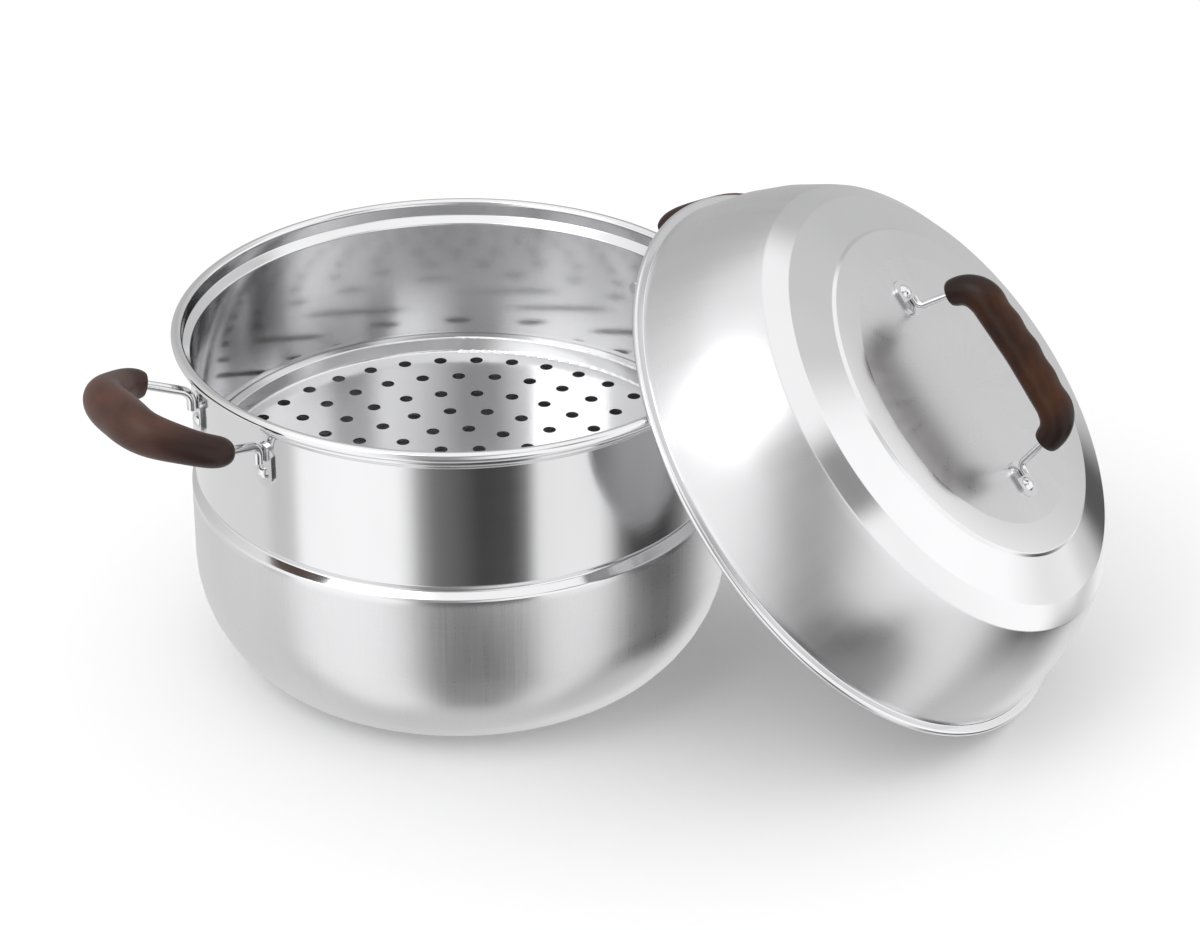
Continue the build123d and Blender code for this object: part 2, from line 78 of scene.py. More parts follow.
class PotSizes(bpy.types.PropertyGroup):
    sheet: length("Sheet", "Thickness of the steel sheet", 0.8)
    rim_radius: length("Rim radius", "Outside of the rolled rim", 148.0)
    rim_height: length("Rim height", "Middle of the roll above the base", 185.8)
    roll_radius: length("Roll radius", "Outside of the roll's section", 2.85)
    neck_depth: length("Neck depth", "From the roll down to the shelf", 5.8)
    shelf_drop: length("Shelf drop", "Fall of the shelf that carries the lid", 3.5)
    shelf_bend: length("Shelf bend", "Bend radius of the shelf", 1.2)
    wall_radius: length("Wall radius", "Outside of the upper wall", 139.0)
    belly_radius: length("Belly radius", "Outside of the lower wall", 141.0)
    belly_height: length("Belly height", "Where the lower wall starts to turn in", 60.0)
    base_radius: length("Base radius", "Flat part of the base", 95.0)
    base_turn: angle("Base turn", "Turn of the first of the base's two bends", 45)
    bead_height: length("Bead height", "Middle of the inward bead", 105.5)
    bead_width: length("Bead width", "Height that the bead takes up", 7.4)
    bead_depth: length("Bead depth", "How far the bead goes in", 2.6)
    bead_bend: length("Bead bend", "Bend radius of the bead", 1.5)
    turns: IntProperty(
        name="Facets", description="Steps round the pot and the lid", default=192, min=24)


class LidSizes(bpy.types.PropertyGroup):
    radius: length("Radius", "Outside of the rolled edge", 158.0)
    roll_radius: length("Roll radius", "Outside of the edge roll's section", 1.8)
    flange_width: length("Flange width", "Flat band inside the rolled edge", 5.2)
    flange_bend: length("Flange bend", "Bend from the flange to the wall", 1.0)
    shoulder_radius: length("Shoulder radius", "Where the wall meets the polished band", 129.0)
    shoulder_height: length("Shoulder height", "Height of that edge", 61.6)
    band_radius: length("Band radius", "Inner edge of the polished band", 118.1)
    band_height: length("Band height", "Height of that edge", 69.3)
    step_radius: length("Step radius", "Foot of the bright step", 94.6)
    step_height: length("Step height", "Height of the step's foot", 76.6)
    step_rise: length("Step rise", "Rise of the step", 1.5)
    step_width: length("Step width", "Width of the step's slope", 1.5)
    disc_radius: length("Disc radius", "Flat middle of the lid", 76.8)
    disc_height: length("Disc height", "Height of the flat middle", 78.6)
    swell: length("Swell", "How far the wall bulges from a straight line", 6.3)
    wall_bend: length("Wall bend", "Bend radius of the wall", 140.0)
    crease_bend: length("Crease bend", "Bend radius of the creases", 3.0)
    small_bend: length("Small bend", "Bend radius at the disc's edge", 1.3)
    stand_out: length("Stand out", "How far the lid's middle stands from the pot's axis", 206.43835)
    bearing: angle("Bearing", "Direction from the pot to the lid", -8.54)
    tilt: angle("Tilt", "How far the lid leans", 47.67)
    turn: angle("Turn", "Which way the lid leans", -24.09)


class SteelLook(bpy.types.PropertyGroup):
    bright: colour("Bright steel", "Polished parts", (0.80, 0.80, 0.81))
    grey: colour("Satin steel", "Brushed parts", (0.74, 0.74, 0.75))
    polish: share("Polish", "Roughness of the polished parts", 0.10)
    satin: share("Satin", "Roughness of the brushed parts", 0.27)


class GripLook(bpy.types.PropertyGroup):
    side_light: colour("Side grips, light", "Lighter tone of the side grips", (0.105, 0.043, 0.029))
    side_dark: colour("Side grips, dark", "Darker tone of the side grips", (0.020, 0.008, 0.006))
    lid_light: colour("Lid grip, light", "Lighter tone of the lid's grip", (0.062, 0.019, 0.005))
    lid_dark: colour("Lid grip, dark", "Darker tone of the lid's grip", (0.010, 0.003, 0.002))
    gloss: share("Gloss", "Roughness of the moulded grips", 0.42)
    # The painted shade on a grip's ends is at its darkest from this distance from its middle
    half_length: length("Half length", "From a grip's middle to its dark ends", 46.0)
    bearing: angle("Handle bearing", "Direction of the side handles", 31.7)
    lid_turn: angle("Lid handle turn", "Direction of the handle on the lid", -12)


class StudioSettings(bpy.types.PropertyGroup):
    camera_place: FloatVectorProperty(
        name="Camera", description="Where the camera stands",
        default=(0, -1.849294, 1.121355), subtype="TRANSLATION")
    pitch: angle("Pitch", "How far the camera looks down", 28.8905)
    yaw: angle("Yaw", "How far the camera turns to the right", 2.2816)
    lens: FloatProperty(name="Lens", description="Focal length", default=120, unit="CAMERA")
    floor_colour: colour("Floor", "White floor", (0.97, 0.97, 0.97))
    room_light: FloatProperty(
        name="Room light", description="Strength of the even room light", default=1.0)
    key_light: FloatProperty(
        name="Key light", description="Power of the large lamp", default=14, subtype="POWER")


GROUPS = {
    "steamer_pot": PotSizes,
    "steamer_lid": LidSizes,
    "steamer_steel": SteelLook,
    "steamer_grips": GripLook,
    "steamer_studio": StudioSettings,
}


# Shader maths

class Field:
    """A socket that takes part in sums as a number does."""

    def __init__(self, finish, socket):
        self.finish = finish
        self.socket = socket

    def sum(self, operation, *values):
        return self.finish.number(operation, *values)

    def __add__(self, other):
        return self.sum("ADD", self, other)

    __radd__ = __add__

    def __sub__(self, other):
        return self.sum("SUBTRACT", self, other)

    def __rsub__(self, other):
        return self.sum("SUBTRACT", other, self)

    def __mul__(self, other):
        return self.sum("MULTIPLY", self, other)

    __rmul__ = __mul__

    def __truediv__(self, other):
        return self.sum("DIVIDE", self, other)


class Finish:
    """A node tree with one shader at its end."""

    def __init__(self, tree):
        self.tree = tree
        tree.nodes.clear()

    def node(self, kind, settings=None, **values):
        """A node of a type: its settings, then the values or links of its sockets.

        A socket goes by its name, with _ for a space, or by its number as at_NUMBER."""
        made = self.tree.nodes.new(kind)
        for name, value in (settings or {}).items():
            if name == "stops":
                self.set_stops(made.color_ramp, value)
            else:
                setattr(made, name, value)
        for name, value in values.items():
            if name.startswith("at_"):
                socket = made.inputs[int(name.removeprefix("at_"))]
            else:
                socket = made.inputs[name.replace("_", " ")]
            self.feed(socket, value)
        return made

    def feed(self, socket, value):
        if isinstance(value, Field):
            value = value.socket
        if isinstance(value, bpy.types.NodeSocket):
            self.tree.links.new(value, socket)
        elif socket.type == "RGBA" and len(value) == 3:
            socket.default_value = (*value, 1)
        else:
            socket.default_value = value

    def set_stops(self, ramp, stops):
        while len(ramp.elements) < len(stops):
            ramp.elements.new(0.5)
        for element, (place, value) in zip(ramp.elements, sorted(stops)):
            element.position = place
            element.color = (value, value, value, 1)

    def number(self, operation, *values):
        sockets = {"at_%d" % i: value for i, value in enumerate(values)}
        made = self.node("ShaderNodeMath", {"operation": operation}, **sockets)
        return Field(self, made.outputs[0])

    def smooth(self, value, low, high):
        """0 below low, 1 above high, with a soft step between."""
        made = self.node("ShaderNodeMapRange", {"interpolation_type": "SMOOTHSTEP"},
                         Value=value, From_Min=low, From_Max=high)
        return Field(self, made.outputs[0])

    def ramp(self, value, stops):
        made = self.node("ShaderNodeValToRGB", {"stops": stops}, at_0=value)
        return Field(self, made.outputs[0])

    def split(self, vector):
        made = self.node("ShaderNodeSeparateXYZ", at_0=vector)
        return [Field(self, made.outputs[i]) for i in range(3)]

    def join(self, x, y, z):
        return self.node("ShaderNodeCombineXYZ", at_0=x, at_1=y, at_2=z).outputs[0]

    def noise(self, vector, scale, detail=2.0, rough=0.5):
        made = self.node(
            "ShaderNodeTexNoise", Vector=vector, Scale=scale, Detail=detail, Roughness=rough)
        return Field(self, made.outputs[0])

    def mix(self, factor, first, second):
        """Colours, first where the factor is 0. The node has its colours at 6 and 7, and at 2."""
        made = self.node(
            "ShaderNodeMix", {"data_type": "RGBA"}, at_0=factor, at_6=first, at_7=second)
        return made.outputs[2]

    def object_place(self, place=None):
        """Object coordinates, or those of a piece drawn upright and then put in its place."""
        spot = self.node("ShaderNodeTexCoord").outputs["Object"]
        if place is None:
            return spot
        made = self.node("ShaderNodeMapping", {"vector_type": "TEXTURE"}, Vector=spot,
                         Location=place.to_translation(), Rotation=place.to_euler())
        return made.outputs[0]

    def bump(self, height, distance, strength):
        made = self.node("ShaderNodeBump", Height=height, Distance=distance, Strength=strength)
        return made.outputs[0]

    def shade(self, **values):
        shader = self.node("ShaderNodeBsdfPrincipled", **values)
        self.node("ShaderNodeOutputMaterial", Surface=shader.outputs[0])


def new_finish(name):
    material = bpy.data.materials.new(name)
    material.use_nodes = True
    return material, Finish(material.node_tree)


# Finishes

BLACK = (0, 0, 0)
# Two fixed coordinates for noise that only runs along the third, and the start of noise that
# goes round the axis
STILL = (0.37, 0.21)
# Fine marks of the spinning tool, in noise cells to a metre
TOOL_MARKS = 900
# Depth in metres and strength of each relief
SHEET_RELIEF = (0.00002, 0.35)
FITTING_RELIEF = (0.00002, 0.25)
SKIN_RELIEF = (0.00004, 0.25)
# How much darker the clouds make each kind of steel
POT_CLOUDS = 0.10
LID_CLOUDS = 0.12
FITTING_CLOUDS = 0.10
# Brush marks round the belly, and how much they change its tone and its roughness
BELLY_MARKS = 17
BELLY_TONE = 0.10
BELLY_ROUGH = 0.12
# The same for the streaks on the lid's satin parts
LID_MARKS = 4
LID_TONE = 0.06
LID_ROUGH = 0.08
# How much the tool marks change the roughness
POT_TOOL_ROUGH = 0.05
LID_TOOL_ROUGH = 0.04
# Noise cells to a metre of the drawing marks, and what they add to the polish
TRAY_MARKS = 160
FITTING_MARKS = 700
FITTING_DULL = 0.03
FITTING_ROUGH = 0.08
# Noise cells to a metre along each axis for the grain of the grips
SIDE_GRAIN = (30, 15, 120)
LID_GRAIN = (60, 45, 15)
# Share of the grain in the grips' tone, the range of that tone, and the painted shade on the
# ends: where it starts, as a share of the half length, and how dark it is
GRAIN_SHARE = 0.45
GRIP_RANGE = (0.15, 0.75)
END_SHADE_START = 0.55
END_SHADE = 0.9
SKIN_CELLS = 1400
SKIN_ROUGH = 0.10
GRIP_CLOUD_ROUGH = 0.08


def clouded(depth, clouds):
    """A factor of 1 where the clouds are bright, and less by the depth where they are dark."""
    return 1 - depth + depth * clouds


def pot_finish(sizes, look):
    """Polished above the bead and inside, satin below it outside."""
    material, finish = new_finish("pot_steel")
    x, y, z = finish.split(finish.object_place())
    out = finish.number("SQRT", x * x + y * y)
    outside = finish.smooth(
        out, sizes.belly_radius - 1.3 * sizes.sheet, sizes.belly_radius - 0.3 * sizes.sheet)
    low = 1 - finish.smooth(
        z, sizes.bead_height - 1.2 * sizes.bead_width, sizes.bead_height - sizes.bead_width / 2)
    under = 1 - finish.smooth(z, sizes.belly_height * 0.9, sizes.belly_height)
    satin = finish.number("MAXIMUM", outside * low, under)
    side = x / out * BELLY_MARKS + STILL[0]
    back = y / out * BELLY_MARKS + STILL[1]
    upright = finish.noise(finish.join(side, back, z * 1.5), scale=9, detail=4, rough=0.65)
    level = finish.noise(finish.join(*STILL, z * TOOL_MARKS), scale=1, detail=3, rough=0.6)
    clouds = finish.noise(finish.join(x, y, z * 0.6), scale=14, detail=3)
    tone = clouded(POT_CLOUDS, clouds) + satin * BELLY_TONE * (upright - 0.5)
    base = finish.mix(tone, BLACK, finish.mix(satin, look.bright, look.grey))
    satin_rough = look.satin - look.polish + BELLY_ROUGH * (upright - 0.5)
    rough = look.polish + POT_TOOL_ROUGH * level + satin * satin_rough
    relief = level * (1 - 0.5 * satin) + satin * upright
    finish.shade(Base_Color=base, Metallic=1.0, Roughness=rough.socket,
                 Normal=finish.bump(relief, *SHEET_RELIEF))
    return material


def lid_finish(sizes, look, place):
    """Satin wall and middle, with polished rings between them and at the edge."""
    material, finish = new_finish("lid_steel")
    x, y, z = finish.split(finish.object_place(place))
    out = finish.number("SQRT", x * x + y * y)

    def beyond(radius):
        soft = 0.5 * MM
        return finish.smooth(out, radius - soft, radius + soft)

    wall = beyond(sizes.shoulder_radius)
    edge = beyond(sizes.radius - sizes.flange_width)
    disc = 1 - beyond(sizes.disc_radius)
    satin = wall * (1 - edge) + disc
    side = (x / out + STILL[0]) * LID_MARKS
    back = (y / out + STILL[1]) * LID_MARKS
    rings = finish.noise(
        finish.join((out - z) * TOOL_MARKS, *STILL), scale=1, detail=3, rough=0.6)
    streaks = finish.noise(finish.join(side, back, out * 8 + z * 6), scale=3, detail=3)
    clouds = finish.noise(finish.join(x, y, z), scale=12, detail=3)
    tone = clouded(LID_CLOUDS, clouds) + satin * LID_TONE * (streaks - 0.5)
    base = finish.mix(tone, BLACK, finish.mix(satin, look.bright, look.grey))
    satin_rough = look.satin - look.polish + LID_ROUGH * (streaks - 0.5)
    rough = look.polish + LID_TOOL_ROUGH * rings + satin * satin_rough
    finish.shade(Base_Color=base, Metallic=1.0, Roughness=rough.socket,
                 Normal=finish.bump(rings, *SHEET_RELIEF))
    return material


def fitting_finish(name, look, cells):
    """Bright rods, lugs, rivets and tray, with faint drawing marks."""
    material, finish = new_finish(name)
    spot = finish.object_place()
    marks = finish.noise(spot, scale=cells, detail=4, rough=0.6)
    clouds = finish.noise(spot, scale=cells / 20)
    base = finish.mix(clouded(FITTING_CLOUDS, clouds), BLACK, look.bright)
    rough = look.polish + FITTING_DULL + FITTING_ROUGH * marks
    finish.shade(Base_Color=base, Metallic=1.0, Roughness=rough.socket,
                 Normal=finish.bump(marks, *FITTING_RELIEF))
    return material


def grip_finish(name, light, dark, look, stretch, middle, along):
    """Moulded resin in a wood tone, with soft grain, a fine grained skin and painted shade at its
    ends.
    """
    material, finish = new_finish(name)
    x, y, z = finish.split(finish.object_place())
    grain = finish.noise(
        finish.join(x * stretch[0], y * stretch[1], z * stretch[2]), scale=1, detail=4, rough=0.6)
    clouds = finish.noise(finish.join(x, y, z), scale=38)
    skin = finish.noise(finish.join(x, y, z), scale=SKIN_CELLS)
    reach = (x - middle[0]) * along[0] + (y - middle[1]) * along[1] + (z - middle[2]) * along[2]
    half = look.half_length
    # Painted shade: each grip grows darker towards both its ends
    painted_end_shade = finish.smooth(finish.number("ABSOLUTE", reach), END_SHADE_START * half, half)
    mottle = GRAIN_SHARE * grain + (1 - GRAIN_SHARE) * clouds
    tone = finish.smooth(mottle, *GRIP_RANGE) * (1 - END_SHADE * painted_end_shade)
    rough = look.gloss + SKIN_ROUGH * (skin - 0.5) + GRIP_CLOUD_ROUGH * (clouds - 0.5)
    finish.shade(Base_Color=finish.mix(tone, dark, light), Metallic=0.0, Roughness=rough.socket,
                 Specular_IOR_Level=0.22, Coat_Weight=0.08, Coat_Roughness=0.2,
                 Normal=finish.bump(skin, *SKIN_RELIEF))
    return material


# Shapes

# Greatest turn of one facet of a bend, and the angle from which an edge is drawn sharp
BEND_STEP = math.radians(7.5)
CREASE = math.radians(32)
# Points closer than these are one point: on an outline, on a spun skin and on a copied piece
OUTLINE_MERGE = 0.01 * MM
SKIN_MERGE = 0.001 * MM
COPY_MERGE = 0.002 * MM


def heading(start, end):
    return math.atan2(end[1] - start[1], end[0] - start[0])


def two_arc_bend(start, end, first_turn):
    """Corners and radii of two tangent bends from a level run to an upright one."""
    run = end[0] - start[0]
    rise = end[1] - start[1]
    sine = math.sin(first_turn)
    cosine = math.cos(first_turn)
    first = run * cosine - rise * (1 - sine)
    first /= sine * cosine - (1 - cosine) * (1 - sine)
    second = (run - first * sine) / (1 - sine)
    low = (start[0] + first * math.tan(first_turn / 2), start[1])
    high = (end[0], end[1] - second * math.tan((math.pi / 2 - first_turn) / 2))
    return [low, high], [first, second]


def bent_line(points, bends):
    """A bmesh wire in the XZ plane: straight runs, with each corner spun round its bend."""
    wire = bmesh.new()
    tip = wire.verts.new((points[0][0], 0, points[0][1]))
    for before, corner, after, bend in zip(points, points[1:], points[2:], bends[1:]):
        first = heading(before, corner)
        turn = (heading(corner, after) - first + math.pi) % (2 * math.pi) - math.pi
        reach = bend * math.tan(abs(turn) / 2)
        start = (corner[0] - reach * math.cos(first), corner[1] - reach * math.sin(first))
        if math.hypot(start[0] - tip.co.x, start[1] - tip.co.z) > OUTLINE_MERGE:
            tip = bmesh.ops.extrude_vert_indiv(wire, verts=[tip])["verts"][0]
            tip.co = (start[0], 0, start[1])
        side = first + math.copysign(math.pi / 2, turn)
        centre = (start[0] + bend * math.cos(side), 0, start[1] + bend * math.sin(side))
        steps = max(2, math.ceil(abs(turn) / BEND_STEP))
        made = bmesh.ops.spin(
            wire, geom=[tip], cent=centre, axis=(0, -1, 0), angle=turn, steps=steps)
        tip = made["geom_last"][0]
    tip = bmesh.ops.extrude_vert_indiv(wire, verts=[tip])["verts"][0]
    tip.co = (points[-1][0], 0, points[-1][1])
    return wire


def finished(bm, name, material, body):
    """An object from a bmesh, shaded smooth, that rides on a body."""
    mesh = bpy.data.meshes.new(name)
    bm.to_mesh(mesh)
    bm.free()
    mesh.materials.append(material)
    piece = bpy.data.objects.new(name, mesh)
    bpy.context.scene.collection.objects.link(piece)
    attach(piece, body)
    return piece


def spun_sheet(wire, turns, place):
    """The wire spun into a closed skin round the Z axis and put in its place."""
    bmesh.ops.spin(wire, geom=wire.verts[:] + wire.edges[:], cent=(0, 0, 0), axis=(0, 0, 1),
                   angle=2 * math.pi, steps=turns, use_merge=True)
    bmesh.ops.remove_doubles(wire, verts=wire.verts[:], dist=SKIN_MERGE)
    bmesh.ops.recalc_face_normals(wire, faces=wire.faces[:])
    for face in wire.faces:
        face.smooth = True
    bmesh.ops.transform(wire, matrix=place, verts=wire.verts[:])
    return wire


def thicken(piece, sheet):
    """Gives a skin the thickness of the sheet, half to each side."""
    wall = piece.modifiers.new("Sheet", "SOLIDIFY")
    wall.thickness = sheet
    wall.offset = 0
    wall.use_even_offset = True
    return piece


def smooth_copy(node, name, material, body):
    """A rigid piece with the node's own shape, merged and shaded smooth between its edges."""
    bm = bmesh.new()
    bm.from_mesh(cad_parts[node].data)
    bmesh.ops.remove_doubles(bm, verts=bm.verts[:], dist=COPY_MERGE)
    for face in bm.faces:
        face.smooth = True
        face.material_index = 0
    for edge in bm.edges:
        edge.smooth = edge.is_manifold and edge.calc_face_angle(0) < CREASE
    piece = finished(bm, name, material, body)
    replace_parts(piece, node)
    return piece


def lid_place(sizes):
    """Where the lid leans, from its own upright frame."""
    edge = sizes.radius - sizes.roll_radius
    height = edge * math.sin(sizes.tilt) + sizes.roll_radius
    across = sizes.stand_out * math.cos(sizes.bearing)
    back = sizes.stand_out * math.sin(sizes.bearing)
    lean = Matrix.Rotation(sizes.turn, 4, "Z") @ Matrix.Rotation(sizes.tilt, 4, "Y")
    return Matrix.Translation((across, back, height)) @ lean


# One operator for each piece or group of like pieces

class STEAMER_OT_pot_shell(bpy.types.Operator):
    """Spin the pot's shell with its bead, shelf and rolled rim"""
    bl_idname = "steamer.pot_shell"
    bl_label = "Pot Shell"

    def outline(self, sizes):
        half = sizes.sheet / 2
        belly = sizes.belly_radius - half
        wall = sizes.wall_radius - half
        roll = sizes.roll_radius - half
        neck = sizes.rim_radius - 2 * sizes.roll_radius + half
        shelf = sizes.rim_height - sizes.neck_depth
        corners, radii = two_arc_bend(
            (sizes.base_radius, half), (belly, sizes.belly_height), sizes.base_turn)
        points = [(0, half)] + corners + [
            (belly, sizes.bead_height - sizes.bead_width / 2),
            (wall - sizes.bead_depth, sizes.bead_height),
            (wall, sizes.bead_height + sizes.bead_width / 2),
            (wall, shelf - sizes.shelf_drop),
            (neck, shelf),
            (neck, sizes.rim_height + roll),
            (neck + 2 * roll, sizes.rim_height + roll),
            (neck + 2 * roll, sizes.rim_height - roll),
            (neck + roll, sizes.rim_height - roll),
        ]
        bends = [0] + radii + [sizes.bead_bend] * 3 + [sizes.shelf_bend] * 2 + [roll] * 3 + [0]
        return points, bends

    def execute(self, context):
        sizes = context.scene.steamer_pot
        wire = bent_line(*self.outline(sizes))
        skin = spun_sheet(wire, sizes.turns, Matrix.Identity(4))
        material = pot_finish(sizes, context.scene.steamer_steel)
        piece = finished(skin, "pot_shell", material, "pot")
        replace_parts(thicken(piece, sizes.sheet), "pot_body")
        return {"FINISHED"}


class STEAMER_OT_tray(bpy.types.Operator):
    """Finish the perforated tray"""
    bl_idname = "steamer.tray"
    bl_label = "Steaming Tray"

    def execute(self, context):
        material = fitting_finish("tray_steel", context.scene.steamer_steel, TRAY_MARKS)
        smooth_copy("steamer_tray", "perforated_tray", material, "tray")
        return {"FINISHED"}


class STEAMER_OT_side_fittings(bpy.types.Operator):
    """Finish the side handles' rods, lugs and rivets"""
    bl_idname = "steamer.side_fittings"
    bl_label = "Side Handle Fittings"

    def execute(self, context):
        material = fitting_finish(
            "side_fitting_steel", context.scene.steamer_steel, FITTING_MARKS)
        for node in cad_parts:
            if node.startswith(("side_rod", "side_lug", "side_rivets")):
                smooth_copy(node, "bright_" + node, material, "pot")
        return {"FINISHED"}


class STEAMER_OT_side_grips(bpy.types.Operator):
    """Finish the moulded side grips"""
    bl_idname = "steamer.side_grips"
    bl_label = "Side Grips"

    def execute(self, context):
        look = context.scene.steamer_grips
        along = (-math.sin(look.bearing), math.cos(look.bearing), 0)
        material = grip_finish(
            "side_grip_resin", look.side_light, look.side_dark, look, SIDE_GRAIN, (0, 0, 0), along)
        for side in ("left", "right"):
            smooth_copy("side_grip_" + side, side + "_moulded_grip", material, "pot")
        return {"FINISHED"}


class STEAMER_OT_lid_shell(bpy.types.Operator):
    """Spin the lid's shell with its stepped top and rolled edge"""
    bl_idname = "steamer.lid_shell"
    bl_label = "Lid Shell"

    def outline(self, sizes, sheet):
        roll = sizes.roll_radius - sheet / 2
        centre = sizes.radius - sizes.roll_radius
        foot = (sizes.radius - sizes.flange_width, roll)
        shoulder = (sizes.shoulder_radius, sizes.shoulder_height)
        chord = math.dist(foot, shoulder)
        swell = ((foot[0] + shoulder[0]) / 2 + sizes.swell * (shoulder[1] - foot[1]) / chord,
                 (foot[1] + shoulder[1]) / 2 + sizes.swell * (foot[0] - shoulder[0]) / chord)
        points = [
            (0, sizes.disc_height),
            (sizes.disc_radius, sizes.disc_height),
            (sizes.step_radius - sizes.step_width, sizes.step_height + sizes.step_rise),
            (sizes.step_radius, sizes.step_height),
            (sizes.band_radius, sizes.band_height),
            shoulder,
            swell,
            foot,
            (centre + roll, roll),
            (centre + roll, -roll),
            (centre - roll, -roll),
            (centre - roll, 0),
        ]
        bends = [0, sizes.small_bend, sheet, sheet, sizes.crease_bend, sizes.crease_bend,
                 sizes.wall_bend, sizes.flange_bend, roll, roll, roll, 0]
        return points, bends

    def execute(self, context):
        sizes = context.scene.steamer_lid
        sheet = context.scene.steamer_pot.sheet
        place = lid_place(sizes)
        wire = bent_line(*self.outline(sizes, sheet))
        skin = spun_sheet(wire, context.scene.steamer_pot.turns, place)
        material = lid_finish(sizes, context.scene.steamer_steel, place)
        piece = finished(skin, "domed_lid", material, "lid")
        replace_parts(thicken(piece, sheet), "lid_shell")
        return {"FINISHED"}


class STEAMER_OT_lid_fittings(bpy.types.Operator):
    """Finish the lid handle's rod, lugs and rivets"""
    bl_idname = "steamer.lid_fittings"
    bl_label = "Lid Handle Fittings"

    def execute(self, context):
        material = fitting_finish(
            "lid_fitting_steel", context.scene.steamer_steel, FITTING_MARKS)
        for node in ("lid_rod", "lid_lug_upper", "lid_lug_lower", "lid_rivets"):
            smooth_copy(node, "bright_" + node, material, "lid")
        return {"FINISHED"}


class STEAMER_OT_lid_grip(bpy.types.Operator):
    """Finish the lid's moulded grip"""
    bl_idname = "steamer.lid_grip"
    bl_label = "Lid Grip"

    def execute(self, context):
        look = context.scene.steamer_grips
        place = lid_place(context.scene.steamer_lid)
        along = place.to_3x3() @ Vector((math.cos(look.lid_turn), math.sin(look.lid_turn), 0))
        material = grip_finish(
            "lid_grip_resin", look.lid_light, look.lid_dark, look, LID_GRAIN,
            place.to_translation(), along)
        smooth_copy("lid_grip", "waved_lid_grip", material, "lid")
        return {"FINISHED"}


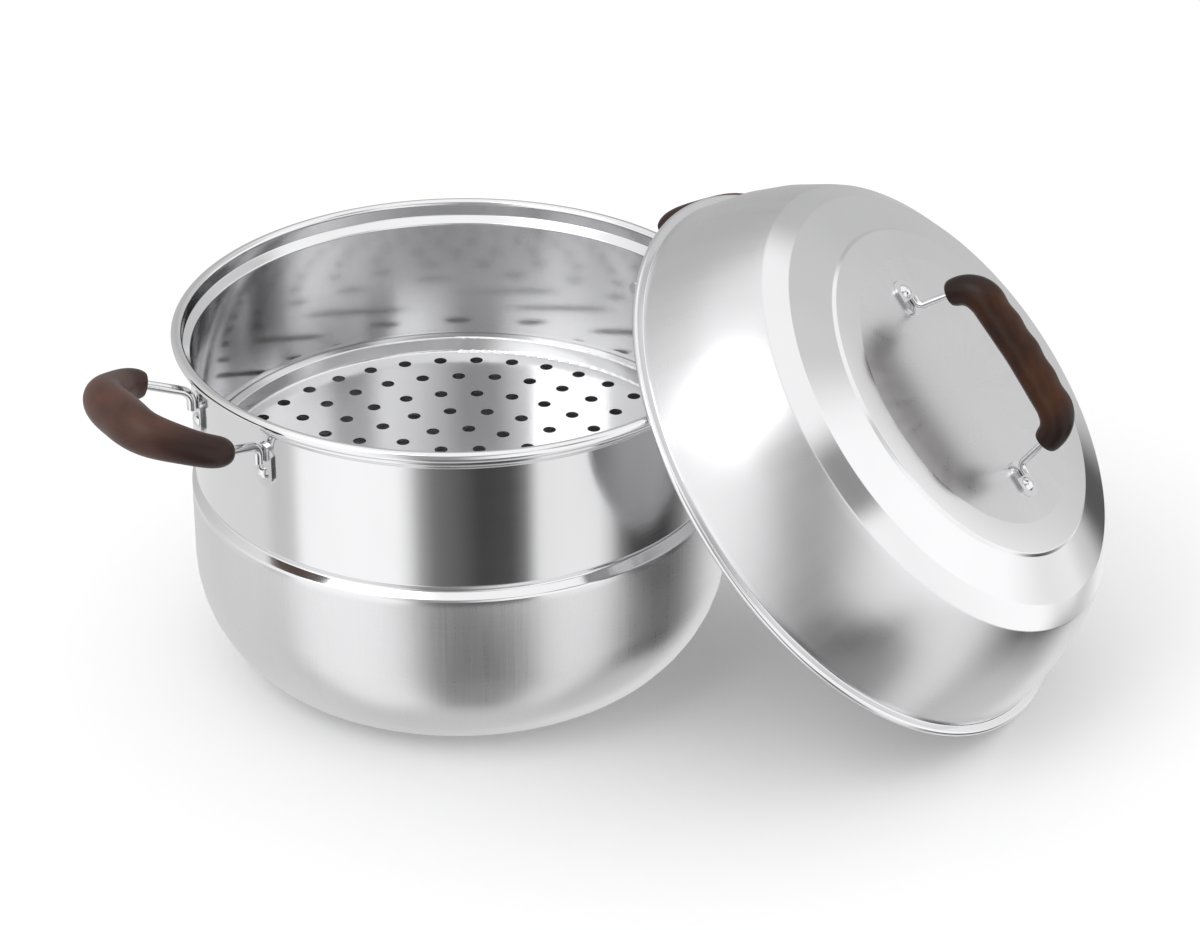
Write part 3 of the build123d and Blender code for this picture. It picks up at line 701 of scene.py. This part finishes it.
class STEAMER_OT_studio(bpy.types.Operator):
    """Add the pale floor, the soft light and the camera"""
    bl_idname = "steamer.studio"
    bl_label = "Studio"

    # Brightness of the room as bare steel sees it, by degrees round from the camera to the right:
    # a low belt that upright walls see, and the room above it that the leaning lid sees
    BELT = (
        (-180, 0.80), (-150, 0.83), (-96, 0.83), (-88, 0.66), (-79, 0.70), (-73, 1.16),
        (-50, 1.22), (-28, 1.22), (-23, 0.95), (-18, 0.42), (-12, 0.20), (-3, 0.14), (8, 0.05),
        (22, 0.07), (28, 0.22), (34, 1.00), (48, 1.04), (62, 1.02), (68, 0.75), (74, 0.24),
        (81, 0.07), (100, 0.05), (112, 0.22), (124, 0.70), (140, 1.05), (160, 0.95),
        (180, 0.80),
    )
    ROOM = (
        (-180, 0.56), (-150, 0.60), (-125, 0.76), (-100, 0.95), (-65, 1.20), (-40, 1.28),
        (-26, 1.02), (-16, 0.40), (-2, 0.36), (8, 0.85), (18, 1.22), (40, 1.22), (60, 1.15),
        (84, 1.26), (100, 1.28), (109, 1.00), (119, 1.08), (124, 0.80), (128, 0.72),
        (150, 0.66), (180, 0.56),
    )
    # Soft panels: degrees round, height of the direction, half width in degrees, half height and
    # brightness
    PANELS = (
        (118, 0.60, 26, 0.20, 0.74),
        (50, 0.64, 17, 0.20, 0.34),
        (139, -0.24, 12, 0.12, 0.10),
        (-4, 0.66, 48, 0.18, 0.42),
        (104, -0.86, 42, 0.20, 0.74),
        (14, -0.76, 30, 0.20, 0.34),
    )
    # Brightness straight above and straight below
    ABOVE = 1.16
    BELOW = 0.76
    # Heights of the direction between which one zone passes into the next
    CEILING = (0.60, 0.85)
    BELT_TOP = (-0.46, -0.36)
    BELT_FOOT = (-0.97, -0.90)
    # Where a panel starts to fade, as a share of its half width and of its half height
    FADE_ASIDE = 0.3
    FADE_ABOVE = 0.4
    # The large lamp, and half the side of the floor, in metres
    LAMP_SIZE = 1.6
    LAMP_PLACE = (-1.4, -1.0, 2.2)
    LAMP_AIM = (0.05, 0, 0.1)
    FLOOR_SIZE = 6

    def belt(self, room, turn, stops):
        """Brightness by the turn, which is 0 to 1 for -180 to 180 degrees."""
        top = max(value for degrees, value in stops)
        places = [(degrees / 360 + 0.5, value / top) for degrees, value in stops]
        return room.ramp(turn, places) * top

    def panel(self, room, turn, z, degrees, height, half_width, half_height):
        """1 on a soft panel of the room and 0 away from it."""
        aside = room.number("ABSOLUTE", turn - (degrees / 360 + 0.5))
        above = room.number("ABSOLUTE", z - height)
        across = 1 - room.smooth(aside, self.FADE_ASIDE * half_width / 360, half_width / 360)
        return across * (1 - room.smooth(above, self.FADE_ABOVE * half_height, half_height))

    def room(self, settings):
        world = bpy.data.worlds.new("Studio")
        bpy.context.scene.world = world
        world.use_nodes = True
        room = Finish(world.node_tree)
        x, y, z = room.split(room.node("ShaderNodeTexCoord").outputs["Generated"])
        turn = room.number("ARCTAN2", x, y * -1) / (2 * math.pi) + 0.5
        high = room.smooth(z, *self.CEILING)
        seen = self.belt(room, turn, self.ROOM) * (1 - high) + self.ABOVE * high
        raised = room.smooth(z, *self.BELT_TOP)
        low = 1 - room.smooth(z, *self.BELT_FOOT)
        under = self.belt(room, turn, self.BELT) * (1 - low) + self.BELOW * low
        seen = seen * raised + under * (1 - raised)
        for degrees, height, half_width, half_height, bright in self.PANELS:
            covered = self.panel(room, turn, z, degrees, height, half_width, half_height)
            seen = seen * (1 - covered) + bright * covered
        path = room.node("ShaderNodeLightPath")
        glossy = Field(room, path.outputs["Is Glossy Ray"])
        camera = Field(room, path.outputs["Is Camera Ray"])
        strength = glossy * seen + camera + (1 - glossy) * (1 - camera) * settings.room_light
        light = room.node("ShaderNodeBackground", Color=(1, 1, 1), Strength=strength)
        room.node("ShaderNodeOutputWorld", Surface=light.outputs[0])

    def floor(self, settings):
        bm = bmesh.new()
        bmesh.ops.create_grid(bm, x_segments=1, y_segments=1, size=self.FLOOR_SIZE)
        mesh = bpy.data.meshes.new("pale_floor")
        bm.to_mesh(mesh)
        bm.free()
        floor = bpy.data.objects.new("pale_floor", mesh)
        bpy.context.scene.collection.objects.link(floor)
        material, finish = new_finish("floor_paint")
        finish.shade(Base_Color=settings.floor_colour, Roughness=0.9, Specular_IOR_Level=0.0)
        mesh.materials.append(material)
        floor.visible_glossy = False

    def lamp(self, settings):
        data = bpy.data.lights.new("soft_key", "AREA")
        data.energy = settings.key_light
        data.size = self.LAMP_SIZE
        lamp = bpy.data.objects.new("soft_key", data)
        lamp.location = self.LAMP_PLACE
        aim = Vector(self.LAMP_AIM) - Vector(self.LAMP_PLACE)
        lamp.rotation_euler = aim.to_track_quat("-Z", "Y").to_euler()
        bpy.context.scene.collection.objects.link(lamp)
        lamp.visible_camera = False

    def execute(self, context):
        settings = context.scene.steamer_studio
        self.room(settings)
        self.floor(settings)
        self.lamp(settings)
        data = bpy.data.cameras.new("Camera")
        data.lens = settings.lens
        data.sensor_width = 36
        data.sensor_fit = "HORIZONTAL"
        camera = bpy.data.objects.new("Camera", data)
        camera.location = settings.camera_place
        camera.rotation_euler = (math.pi / 2 - settings.pitch, 0, -settings.yaw)
        context.scene.collection.objects.link(camera)
        context.scene.camera = camera
        context.scene.view_settings.view_transform = "Standard"
        return {"FINISHED"}


OPERATORS = (
    STEAMER_OT_studio,
    STEAMER_OT_pot_shell,
    STEAMER_OT_tray,
    STEAMER_OT_side_fittings,
    STEAMER_OT_side_grips,
    STEAMER_OT_lid_shell,
    STEAMER_OT_lid_fittings,
    STEAMER_OT_lid_grip,
)


class STEAMER_PT_panel(bpy.types.Panel):
    """Sizes, colours and steps of the steamer pot"""
    bl_idname = "STEAMER_PT_panel"
    bl_label = "Steamer Pot"
    bl_space_type = "VIEW_3D"
    bl_region_type = "UI"
    bl_category = "Steamer Pot"

    def draw(self, context):
        for name, group in GROUPS.items():
            box = self.layout.box()
            for prop in group.__annotations__:
                box.prop(getattr(context.scene, name), prop)
        for operator in OPERATORS:
            self.layout.operator(operator.bl_idname)


def register():
    for group in GROUPS.values():
        bpy.utils.register_class(group)
    for name, group in GROUPS.items():
        setattr(bpy.types.Scene, name, PointerProperty(type=group))
    for operator in OPERATORS:
        bpy.utils.register_class(operator)
    bpy.utils.register_class(STEAMER_PT_panel)


def unregister():
    bpy.utils.unregister_class(STEAMER_PT_panel)
    for operator in reversed(OPERATORS):
        bpy.utils.unregister_class(operator)
    for name in GROUPS:
        delattr(bpy.types.Scene, name)
    for group in reversed(list(GROUPS.values())):
        bpy.utils.unregister_class(group)


def main():
    register()
    for operator in OPERATORS:
        family, step = operator.bl_idname.split(".")
        getattr(getattr(bpy.ops, family), step)()


if __name__ == "__main__":
    main()
